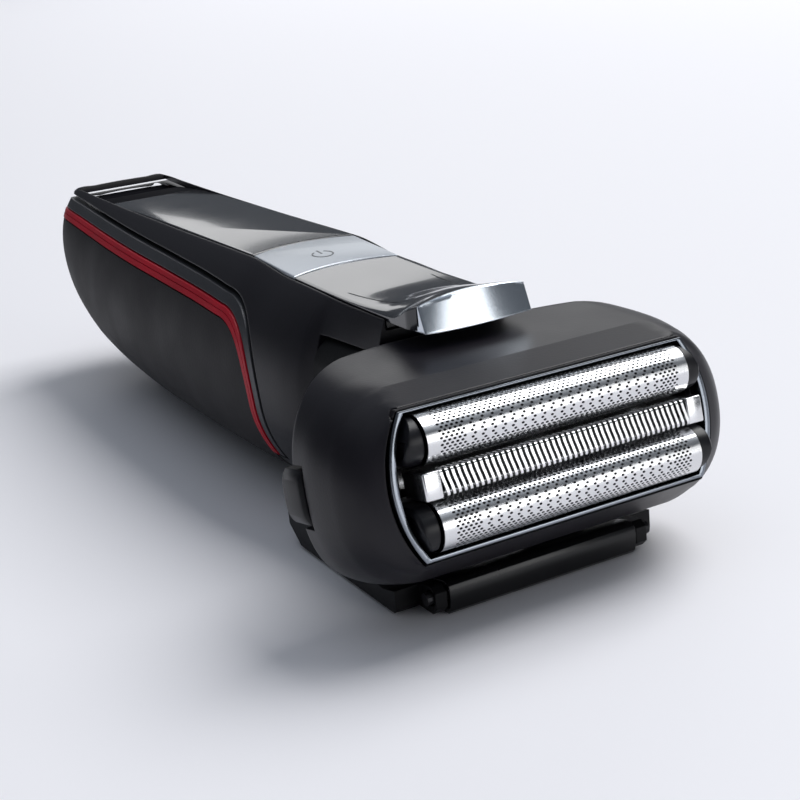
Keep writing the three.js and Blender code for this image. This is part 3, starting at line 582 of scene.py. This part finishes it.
for side_name, height in (("front", FOIL["pitch"]), ("rear", -FOIL["pitch"])):
    sheet = foil_sheet()
    sheet.data.transform(Matrix.Translation((0, 0, height)))
    unit = f"{side_name}_foil_unit"
    piece(sheet, f"{side_name}_foil_sheet", HEAD, LOOKS["steel"], unit, [f"foil_{side_name}"],
          degrees=40)
    piece(foil_holder(height), f"{side_name}_foil_caps", HEAD, CAP_BLACK, unit,
          [f"foil_holder_{side_name}"])

# ------------------------------------------------------------------ slit comb between the foils
COMB = {"half": 21.7, "block": 2.5, "side": 1.8, "crest": 0.3, "leg": 6.0, "teeth": 46, "wave": 0.3}


def comb_tooth(x, width, thick=0.3):
    """One tooth over the top of the comb and down both of its sides, with a slight S from above."""
    side, crest = COMB["side"], COMB["crest"]
    path = [(-side, 2.6), (-side, 1.2), (-side, 0.75)]
    path += [(-side + 0.45 - 0.45 * math.cos(a), crest + 0.45 - 0.45 * math.sin(a))
             for a in np.linspace(0.3, math.pi / 2, 4)]
    path += [(v, crest) for v in np.linspace(-1.1, 0, 6)]
    path += [(-v, d) for v, d in path[-2::-1]]
    rings = []
    for k, (v, d) in enumerate(path):
        before, after = path[max(k - 1, 0)], path[min(k + 1, len(path) - 1)]
        along = Vector((after[0] - before[0], after[1] - before[1])).normalized()
        inward = Vector((-along.y, along.x)) * thick
        if inward.dot(Vector((-v, 4 - d))) < 0:
            inward = -inward
        shift = -COMB["wave"] * math.sin(v * math.pi / (2 * side))
        rings.append([(x + shift - width / 2, d, v), (x + shift + width / 2, d, v),
                      (x + shift + width / 2, d + inward.y, v + inward.x),
                      (x + shift - width / 2, d + inward.y, v + inward.x)])
    return skin(rings)


def slit_comb_body():
    inner = COMB["half"] - COMB["block"]
    pitch = 2 * inner / COMB["teeth"]
    teeth = [comb_tooth(-inner + (k + 0.5) * pitch, pitch * 0.48) for k in range(COMB["teeth"])]
    rails = [box((-inner - 0.2, 2.2, s * 1.62 - 0.17), (inner + 0.2, COMB["leg"], s * 1.62 + 0.17))
             for s in (-1, 1)]
    blocks = []
    for s in (-1, 1):
        low, high = sorted((s * inner, s * COMB["half"]))
        blocks.append(bevel(box((low, COMB["crest"] - 0.02, -COMB["side"]),
                                (high, COMB["leg"], COMB["side"])), 0.22))
    return merge(*blocks, *rails, *teeth)


piece(slit_comb_body(), "slit_comb_teeth", HEAD, LOOKS["steel"], "slit_unit", ["slit_comb"])

# ------------------------------------------------------------------ release buttons
def release_pad(side):
    """A finger pad, full in the middle and turned in at its two ends, on a round stem."""
    low, high = RELEASE["low"] + GAP, RELEASE["high"] - GAP
    middle, half = (low + high) / 2, (high - low) / 2
    front, back = RELEASE["front"] + GAP, RELEASE["back"]
    rings = []
    for v in np.linspace(low, high, 33):
        share = abs(v - middle) / half
        outer = RELEASE["outer"] - 0.9 * share ** 4
        rings.append([(side * RELEASE["inner"], front, v), (side * (outer - 0.6), front, v),
                      (side * (outer - 0.18), front + 0.18, v), (side * outer, front + 0.6, v),
                      (side * outer, back - 0.5, v), (side * (outer - 0.3), back, v),
                      (side * RELEASE["inner"], back, v)])
    stem = prism("x", circle(17.9, -0.2, 1.2, 24), *sorted((side * 23.1, side * 28.1)))
    return add(skin(rings), stem)


for side_name, side in SIDES:
    piece(release_pad(side), f"{side_name}_release_pad", HEAD, CAP_BLACK, f"{side_name}_release",
          [f"release_button_{side_name}"])

# ------------------------------------------------------------------ handle outline
HANDLE_ROWS = [                      # along, half width, top, bottom
    (46, 14.2, 16.0, -15.0), (48.5, 16.2, 16.1, -17.0), (54, 17.6, 16.3, -18.7),
    (62, 18.4, 16.5, -19.6), (75, 19.0, 17.7, -20.1), (92, 19.2, 17.6, -20.2),
    (110, 19.1, 17.5, -20.1), (128, 18.6, 17.5, -19.2), (143, 17.8, 17.6, -17.2),
    (154, 16.9, 17.7, -13.6), (161, 15.9, 17.8, -9.0), (165.5, 14.6, 17.7, -4.2),
    (168, 12.6, 17.2, 0.0)]
SHOULDER = [(0, 0.985), (0.21, 0.91), (0.45, 0.79), (0.74, 0.575), (0.92, 0.32), (1, 0)]
BELLY = [(0.975, -0.27), (0.9, -0.47), (0.8, -0.63), (0.63, -0.79), (0.4, -0.93), (0.16, -1)]
RAIL, MIDDLE_Z, FLOOR_Z = 9.5, 0.3, -20.0
FIRST_Y, LAST_Y = 46.0, 168.0
FINE_TO, FINE_FROM = 50, 150         # the loft's rings lie closer before and after these


def handle_ring(y, half_width, top, bottom, inset):
    middle = max(MIDDLE_Z, (top + bottom) / 2)
    outer = half_width - inset
    rail = min(RAIL, 0.8 * outer)
    over, under = top - inset - middle, middle - bottom - inset
    right = [(0.6 * rail, middle + over),
             *[(rail + a * (outer - rail), middle + b * over) for a, b in SHOULDER],
             *[(a * outer, middle + b * under) for a, b in BELLY]]
    ring = smooth_ring(right + [(-x, z) for x, z in right[::-1]], 5)
    return np.c_[ring[:, 0], np.full(len(ring), y), ring[:, 1]]


def handle_loft(inset, start=FIRST_Y, end=LAST_Y, flat=False):
    ys = np.unique(np.r_[start, np.linspace(max(start, FIRST_Y), FINE_TO, 12),
                         np.linspace(FINE_TO, FINE_FROM, 70), np.linspace(FINE_FROM, end, 30)])
    rows = spline(HANDLE_ROWS, np.clip(ys, FIRST_Y, LAST_Y))
    rings = np.array([handle_ring(y, *row, inset) for y, row in zip(ys, rows)])
    if flat:
        rings[:, :, 2] = np.maximum(rings[:, :, 2], FLOOR_Z)
    return skin(rings)


LINE = {"front": 61.6, "corner": 13.0, "top": 10.0}
LINE_RISE = [(74.6, 10), (86, 10.6), (100, 11), (125, 11.6), (145, 12.3), (157, 12.9), (168, 13.3),
             (190, 13.6)]


def grip_region(grow):
    """Everything under the line of the stripe, grown by a distance."""
    radius = LINE["corner"] + grow
    points = [(LINE["front"] - grow, -40)]
    for turn in np.linspace(math.pi, math.pi / 2, 20):
        points.append((LINE["front"] + LINE["corner"] + radius * math.cos(turn),
                       LINE["top"] - LINE["corner"] + radius * math.sin(turn)))
    ys = np.linspace(LINE["front"] + LINE["corner"] + 1, 190, 50)
    points += [(y, z + grow) for y, z in zip(ys, spline(LINE_RISE, ys)[:, 0])]
    return prism("x", points + [(190, -40)], -40, 40)


STRIPE = {"half": 0.8, "rim": 2.6, "groove": 3.4, "proud": 0.15, "low": -12.0}
SKIN, WALL = 2.0, 4.0


def handle_core():
    """The handle without its outer skin, longer at both ends."""
    return handle_loft(SKIN, start=30.0, end=169.0)


def cavity():
    rows = [(40, *HANDLE_ROWS[1][1:]), *[HANDLE_ROWS[i] for i in (2, 4, 6, 8, 9)],
            (159, 13.4, 17.6, -10)]
    return skin([handle_ring(*row, WALL) for row in rows])


def socket_hole():
    return box((-6.5, 150, 2.7), (6.5, 180, 11.7))


CHANNEL = {"half": 9.6, "floor": 15.5, "end": 161.5}
COWL_ROWS = [                        # along, half width, top, bottom
    (30.4, 12, 15.9, -15), (38, 13, 15.9, -15), (46, 14.2, 16, -15), (48.5, 16.2, 16.1, -17)]
KEY = {"front": 60.2, "back": 75.2, "bulge": 2.2, "low_z": 16.4, "high_z": 17.6, "start": 59.0,
       "end": 77.8, "seat": 59.7, "stem": 68, "thick": 1.3, "travel": 0.8}
SCOOP = [                            # the hollow behind the panel, from the side
    (140, 15.6), (150, 15.4), (156, 15.0), (159.5, 14.3), (161, 14.2), (162.4, 14.5),
    (163.4, 15.2), (164.3, 16.2), (164.8, 17.0), (165, 18), (165, 40), (140, 40)]


def cowl():
    """The roof over the neck, which carries the thumb rest."""
    ys = np.linspace(COWL_ROWS[0][0], COWL_ROWS[-1][0], 24)
    rows = spline(COWL_ROWS, ys)
    return keep(skin([handle_ring(y, *row, 0) for y, row in zip(ys, rows)]),
                box((-40, 20, 10.8), (40, 50, 40)))


def main_shell_body():
    half, floor = CHANNEL["half"], CHANNEL["floor"]
    body = add(handle_loft(0, flat=True), cowl())
    deep = KEY["thick"] + KEY["travel"] + GAP
    key_seat = [(KEY["seat"], KEY["low_z"] - deep), (KEY["end"], KEY["high_z"] - deep),
                (KEY["end"], 40), (KEY["seat"], 40)]
    channel = box((-half, KEY["seat"], floor), (half, CHANNEL["end"], 40))
    under_plate = box((-half, 20, 13.9), (half, 59.9, 40))
    stem_hole = prism("z", circle(0, KEY["stem"], 1.8, 24), 11, 17)
    slider_slot = box((-4.4, 47, -30), (4.4, 60.4, -17.3))
    slider_hole = box((-1.9, 49.8, -30), (1.9, 58.8, -10))
    body = cut(body, cavity(), channel, under_plate, prism("x", key_seat, -half, half),
               prism("x", SCOOP, -half, half), stem_hole, socket_hole(), slider_slot, slider_hole)
    band = add(cut(grip_region(STRIPE["groove"]), box((-60, 0, -60), (60, 80, STRIPE["low"]))),
               grip_region(0))
    return cut(body, band)


piece(main_shell_body(), "handle_shell", HANDLE, LOOKS["shell_black"], "handle", ["main_shell"],
      degrees=24)

grip = cut(handle_loft(0, flat=True), handle_core(), socket_hole())
piece(keep(grip, grip_region(-STRIPE["half"] - GAP)), "grip_skin", HANDLE, LOOKS["grip_rubber"],
      "handle", ["grip_cover"], degrees=24)


def strip(proud, low, high, side):
    """A band of the handle's skin between two lines that run beside the stripe."""
    region = cut(grip_region(high), grip_region(low))
    half = box((0, 0, STRIPE["low"] + GAP), (60, 167, 60)) if side > 0 else \
        box((-60, 0, STRIPE["low"] + GAP), (0, 167, 60))
    return keep(cut(handle_loft(-proud), handle_core()), region, half)


for side_name, side in SIDES:
    red = cut(strip(STRIPE["proud"], -STRIPE["half"], STRIPE["half"], side),
              strip(STRIPE["proud"] + 0.3, 0.02, 0.14, side))
    piece(red, f"{side_name}_stripe_band", HANDLE, LOOKS["red_metal"], "handle",
          [f"stripe_{side_name}"], degrees=24)
    rim = strip(0, STRIPE["half"] + GAP, STRIPE["rim"], side)
    piece(rim, f"{side_name}_stripe_edge", HANDLE, RIM_SATIN, "handle",
          [f"stripe_rim_{side_name}"], degrees=24)

# ------------------------------------------------------------------ top of the handle
HALF = CHANNEL["half"] - GAP


def arc_edge(y, bulge, steps=32):
    xs = np.linspace(HALF, -HALF, steps)
    return [(x, y + bulge * (1 - (x / HALF) ** 2)) for x in xs]


PANEL_END, TAIL_START = 158.6, 146.0
PANEL_SIDE = [
    (60, 15.8), (60, 17.5), (110, 17.4), (132, 17.2), (142, 16.9), (150, 16.5), (155, 16.1),
    (PANEL_END, 15.6), (PANEL_END, 15.2), (156, 15.3), (140, 15.9)]


def panel_body():
    """The long glossy panel, with a fine line cut across it just behind the key."""
    plan = [*arc_edge(KEY["back"] + GAP, KEY["bulge"]), (-HALF, PANEL_END), (HALF, PANEL_END)]
    line = [*arc_edge(KEY["back"] + GAP + 0.95, KEY["bulge"]),
            *arc_edge(KEY["back"] + GAP + 0.6, KEY["bulge"])[::-1]]
    body = bevel(keep(prism("z", plan, 12, 18), prism("x", PANEL_SIDE, -20, 20)), 0.2)
    return cut(body, prism("z", line, 17.0, 18))


# keep() works in place, so each half is cut from a panel of its own.
lens = keep(panel_body(), box((-20, 60, 10), (20, TAIL_START, 20)))
tail = keep(panel_body(), box((-20, TAIL_START, 10), (20, 170, 20)))
piece(lens, "display_lens", HANDLE, LOOKS["gloss_black"], "handle", ["display_panel"])
piece(tail, "panel_tail", HANDLE, STERN_MATT, "handle", ["display_panel"])

key_side = [(KEY["start"], KEY["low_z"]), (KEY["end"], KEY["high_z"]),
            (KEY["end"], KEY["high_z"] - KEY["thick"]), (KEY["start"], KEY["low_z"] - KEY["thick"])]
key = keep(prism("z", [*arc_edge(KEY["back"], KEY["bulge"])[::-1], *arc_edge(KEY["front"], KEY["bulge"])],
                 10, 20), prism("x", key_side, -20, 20))
key = add(bevel(key, 0.22), prism("z", circle(0, KEY["stem"], 1.5, 24), 12.5, 16.5))
piece(key, "power_key_cap", HANDLE, LOOKS["key_silver"], "power_key", ["power_button"])


def power_sign():
    """The plain round on-off sign, standing a hair above the sloping key."""
    radius, width, low, high = 1.7, 0.14, -0.1, 0.04
    turn = np.linspace(math.radians(120), math.radians(420), 40)
    section = ((-width, low), (width, low), (width, high), (-width, high))
    ring = skin([[((radius + a) * math.cos(t), (radius + a) * math.sin(t), z) for a, z in section]
                 for t in turn])
    sign = merge(ring, box((-width, 0.3, low), (width, 2.3, high)))
    slope = (KEY["high_z"] - KEY["low_z"]) / (KEY["end"] - KEY["start"])
    at_y = 68.6
    sign.data.transform(Matrix.Translation((0, at_y, KEY["low_z"] + slope * (at_y - KEY["start"])))
                        @ Matrix.Rotation(math.atan(slope), 4, "X"))
    return sign


SIGN = surface("key_sign", (0.10, 0.11, 0.12), 0.4)
piece(power_sign(), "power_key_sign", HANDLE, SIGN, "power_key", ["power_button"])

PLATE = {"front": 22.9, "full": 24.5, "level": 44, "back": 62.5, "low": 14.2, "front_half": 8.6}
SEAM = {"back": 46, "half": 7.2, "narrows": 1.3, "corner": (5.9, 31.6), "soft": 1.1, "bow": 2.2,
        "width": 0.12, "deep": 0.3}
PLATE_ROWS = [                       # along, height at the edge, height in the middle
    (22.9, 18.5, 19.5), (24.5, 17.95, 19.35), (26.5, 16.9, 19.05), (28.6, 16.2, 18.6),
    (31, 16.05, 17.9), (34, 16, 17.05), (38, 16, 16.4), (44, 16, 16.1), (62.5, 16.4, 16.4)]


def plate_half(y):
    return np.interp(y, (PLATE["front"], PLATE["full"]), (PLATE["front_half"], HALF))


def plate_top(x, y):
    edge, middle = spline(PLATE_ROWS, y)[0]
    return edge + (middle - edge) * (1 - (x / plate_half(y)) ** 2)


def thumb_rest_body():
    """A plate that sweeps up to the nose, with a fine seam round the middle of its front half."""
    across = np.linspace(-1, 1, 49)
    rings = []
    swept, level = np.linspace(PLATE["front"], PLATE["level"], 60), np.linspace(45, PLATE["back"], 20)
    for y in np.r_[swept, level]:
        half = plate_half(y)
        soft = 0.12 * np.clip((np.abs(across) - 0.985) / 0.015, 0, 1)
        top = [(u * half, y, plate_top(u * half, y) - d) for u, d in zip(across, soft)]
        rings.append([(-half, y, PLATE["low"]), *top, (half, y, PLATE["low"])])
    plan = [*arc_edge(KEY["front"] - GAP, KEY["bulge"]), (-HALF, 20), (HALF, 20)]
    body = keep(skin(rings), prism("z", plan, 10, 30))
    under_nose = box((-7.6, 20, 10), (7.6, 26, 16.2))
    over_neck = box((-20, 20, 10), (20, 30.5, 15.2))
    over_key = box((-20, 59.4, 10), (20, 70, 14.6))
    return cut(body, under_nose, over_neck, over_key, seam_groove())


def seam_groove():
    """The body cut away for the seam: straight sides, round corners and a bowed front."""
    corner, soft = SEAM["corner"], SEAM["soft"]
    path = [(-(SEAM["half"] - SEAM["narrows"] * t), SEAM["back"] - (SEAM["back"] - corner[1] - soft) * t)
            for t in np.linspace(0, 1, 22)]
    path += [(-corner[0] + soft * (1 - math.cos(a)), corner[1] + soft * (1 - math.sin(a)))
             for a in np.linspace(0.2, math.pi / 2, 7)]
    over = corner[0] - soft
    path += [(x, corner[1] - SEAM["bow"] * (1 - (x / over) ** 2)) for x in np.linspace(-over, 0, 16)[1:]]
    path += [(-x, y) for x, y in path[-2::-1]]
    groove = []
    for k, (x, y) in enumerate(path):
        ahead_of, behind = path[min(k + 1, len(path) - 1)], path[max(k - 1, 0)]
        along = Vector((ahead_of[0] - behind[0], ahead_of[1] - behind[1])).normalized() * SEAM["width"]
        deep = SEAM["deep"] * min(1, (1 + min(k, len(path) - 1 - k)) / 8)
        z = plate_top(x, y)
        groove.append([(x - along.y, y + along.x, z - deep), (x + along.y, y - along.x, z - deep),
                       (x + along.y, y - along.x, z + 0.5), (x - along.y, y + along.x, z + 0.5)])
    return skin(groove)


piece(thumb_rest_body(), "thumb_plate", HANDLE, LOOKS["gloss_black"], "handle", ["thumb_rest"],
      degrees=28)

NOSE = {"half": 8.6, "low": 15.0, "brow": 18.75, "crown": 19.8, "bow": 0.9, "front": 21.6,
        "lean": 1.6, "foot": 15.9, "heel": 25.5}


def nose_body():
    """The bright face of the nose, bowed from side to side, with a short foot under the plate."""
    rings = []
    for x in np.linspace(-NOSE["half"], NOSE["half"], 41):
        share = (x / NOSE["half"]) ** 2
        top = NOSE["brow"] + (NOSE["crown"] - NOSE["brow"]) * (1 - share)
        bow = NOSE["bow"] * share
        front = [(NOSE["front"] - (1 - t) * NOSE["lean"] + bow, NOSE["low"] + (top - NOSE["low"]) * t)
                 for t in np.linspace(0, 0.96, 12)]
        back = [(21.85 + bow * 0.5, top), (22.4, top), (22.6, top - 0.15), (22.5, NOSE["foot"]),
                (NOSE["heel"], NOSE["foot"]), (NOSE["heel"], NOSE["low"])]
        rings.append([(x, y, z) for y, z in [*front, *back]])
    return skin(rings)


piece(bevel(nose_body(), 0.05, 2, 50), "nose_cap", HANDLE, LOOKS["dark_chrome"], "handle",
      ["nose_trim"])

# ------------------------------------------------------------------ neck
BOOT = {"low": -12.8, "high": 10.5, "back": 45.7}
boot = prism("y", rounded(14.4, BOOT["low"], BOOT["high"], 5), 18, BOOT["back"])
neck_front = [(0, -40), (18, -40), (22.4, BOOT["low"]), (31.6, BOOT["high"]), (31.6, 40), (0, 40)]
boot_inside = prism("y", rounded(12.9, -11.3, 9.9, 3.4), 10, 60)
boot = cut(boot, prism("x", neck_front, -40, 40), boot_inside)
piece(boot, "neck_sleeve", HANDLE, LOOKS["boot_rubber"], "handle", ["neck_boot"])

# ------------------------------------------------------------------ pop-up trimmer flap
FLAP_HALF, FLAP_PIN = 15.3, (9.7, -17.1)
flap_side = [(8.9, -19.8), (8.4, -19.3), (8.1, -17.6), (8.15, -16.1), (8.4, -15.6), (8.9, -15.3),
             (9.9, -15.2), (13, -16.0), (16, -16.9), (22, -16.6), (36, -16.6), (36, -19.8)]
flap = cut(prism("x", flap_side, -FLAP_HALF, FLAP_HALF), prism("x", circle(*FLAP_PIN, 1.2, 24), -20, 20),
           box((1 - FLAP_HALF, 26, -19.0), (FLAP_HALF - 1, 40, -17.5)))
piece(bevel(flap, 0.14), "trimmer_flap", HANDLE, FLAP_BLACK, "trimmer",
      ["trimmer_housing"])

# ------------------------------------------------------------------ floor, light and camera
scene = bpy.context.scene


def pale_floor():
    m = bpy.data.materials.new("pale_floor")
    m.use_nodes = True
    shader = m.node_tree.nodes["Principled BSDF"]
    shader.inputs["Roughness"].default_value = 0.6
    noise = m.node_tree.nodes.new("ShaderNodeTexNoise")
    noise.inputs["Scale"].default_value = 3
    ramp = m.node_tree.nodes.new("ShaderNodeValToRGB")
    ramp.color_ramp.elements[0].color = (0.86, 0.85, 0.88, 1)
    ramp.color_ramp.elements[1].color = (0.89, 0.88, 0.91, 1)
    m.node_tree.links.new(noise.outputs["Fac"], ramp.inputs["Fac"])
    m.node_tree.links.new(ramp.outputs["Color"], shader.inputs["Base Color"])
    return m


SPREAD = 8.0
floor = shape([(-SPREAD, -SPREAD, 0), (SPREAD, -SPREAD, 0), (SPREAD, SPREAD, 0), (-SPREAD, SPREAD, 0)],
              [(0, 1, 2, 3)])
floor.name = "studio_floor"
floor.data.materials.append(pale_floor())


LIT_POINT = Vector((0, 0, 0.02))


def softbox(name, place, size, power):
    light = bpy.data.lights.new(name, "AREA")
    light.shape, light.size, light.size_y, light.energy = "RECTANGLE", size[0], size[1], power
    obj = bpy.data.objects.new(name, light)
    scene.collection.objects.link(obj)
    obj.location = place
    obj.rotation_euler = (LIT_POINT - Vector(place)).to_track_quat("-Z", "Y").to_euler()


softbox("key_light", (2.3, 0.3, 3.0), (2.6, 2.6), 128)
softbox("rear_light", (1.15, 1.6, 0.86), (1.5, 0.72), 4.4)
softbox("front_light", (0.33, -0.87, 0.17), (0.44, 0.42), 1.5)

# A dim room with a brighter ceiling.
world = bpy.data.worlds.new("studio")
world.use_nodes = True
room = world.node_tree
direction = room.nodes.new("ShaderNodeTexCoord")
axes = room.nodes.new("ShaderNodeSeparateXYZ")
fade = room.nodes.new("ShaderNodeValToRGB")
for position, value in ((0.0, 0.08), (0.3, 0.12), (0.6, 0.14), (0.85, 0.5), (1.0, 0.5)):
    stop = fade.color_ramp.elements.new(position) if 0 < position < 1 else \
        fade.color_ramp.elements[0 if position == 0 else -1]
    stop.color = (value * 0.92, value, value * 1.12, 1)
room.links.new(direction.outputs["Generated"], axes.inputs["Vector"])
room.links.new(axes.outputs["Z"], fade.inputs["Fac"])
room.links.new(fade.outputs["Color"], room.nodes["Background"].inputs["Color"])
scene.world = world
scene.view_settings.view_transform = "Standard"

# The place, angles and lens are the result of fitting a camera to points read off the photo.
EYE = (-0.10590, -0.23977, 0.09312)
YAW, PITCH, ROLL = 0.47632, -0.28786, -0.11133
LENS, SENSOR = 70.187, 36.0          # mm
FRAME_LEAN = 0.036                   # the floor leans this much in the view
ahead = Vector((math.sin(YAW) * math.cos(PITCH), math.cos(YAW) * math.cos(PITCH), math.sin(PITCH)))
level = Vector((math.cos(YAW), -math.sin(YAW), 0))
upward = level.cross(ahead)
right = level * math.cos(ROLL) + upward * math.sin(ROLL)
above = upward * math.cos(ROLL) - level * math.sin(ROLL)
turn = Matrix.Rotation(-FRAME_LEAN, 3, "X") @ Matrix((right, above, -ahead)).transposed()

camera = bpy.data.objects.new("camera", bpy.data.cameras.new("camera"))
camera.data.lens, camera.data.sensor_width = LENS, SENSOR
camera.data.clip_start, camera.data.clip_end = 0.005, 50
camera.matrix_world = Matrix.Translation(EYE) @ turn.to_4x4()
scene.collection.objects.link(camera)
scene.camera = camera

bpy.context.view_layer.update()
